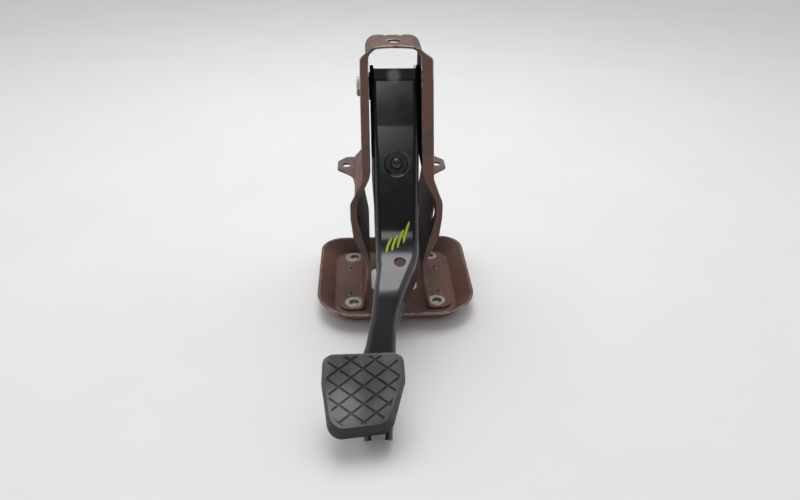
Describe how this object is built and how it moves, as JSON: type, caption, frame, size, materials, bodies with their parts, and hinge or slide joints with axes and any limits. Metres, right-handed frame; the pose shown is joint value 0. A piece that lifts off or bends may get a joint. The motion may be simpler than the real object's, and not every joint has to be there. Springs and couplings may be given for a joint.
{
  "type": "brake pedal",
  "caption": "Car brake pedal hung in a pressed arch bracket: U-section arm with a diamond-tread rubber pad, bushed pivot bolt, flared base pan and rear fixing ears.",
  "frame": {"origin": "middle of the four-stud pattern, on the mounting face under the base pan", "axes": "+Z away from the mounting face towards the bridge, -Y towards the pad, +X to the right seen from the pad"},
  "size_m": [0.158, 0.3111, 0.25],
  "materials": {
    "brown_primer": "satin",
    "zinc_steel": "satin",
    "plain_steel": "satin",
    "black_enamel": "gloss",
    "black_pin": "gloss",
    "black_plate": "satin",
    "bush_plastic": "matte",
    "tread_rubber": "matte"
  },
  "bodies": {
    "bracket": {"base_pan": "brown_primer", "bracket_arch": "brown_primer", "pivot_bolt": "zinc_steel", "pivot_nut": "zinc_steel", "pivot_sleeve": "plain_steel"},
    "pedal": {"pedal_arm": "black_enamel", "pivot_tube": "black_enamel", "bush_left": "bush_plastic", "bush_right": "bush_plastic", "ball_pin": "black_pin", "pad_plate": "black_plate", "pad_rubber": "tread_rubber"}
  },
  "joints": [
    {"name": "pedal_pivot", "type": "hinge", "parent": "bracket", "child": "pedal", "pos_m": [0, 0.018, 0.209], "axis": [-1, 0, 0], "range_deg": [0, 28]}
  ]
}
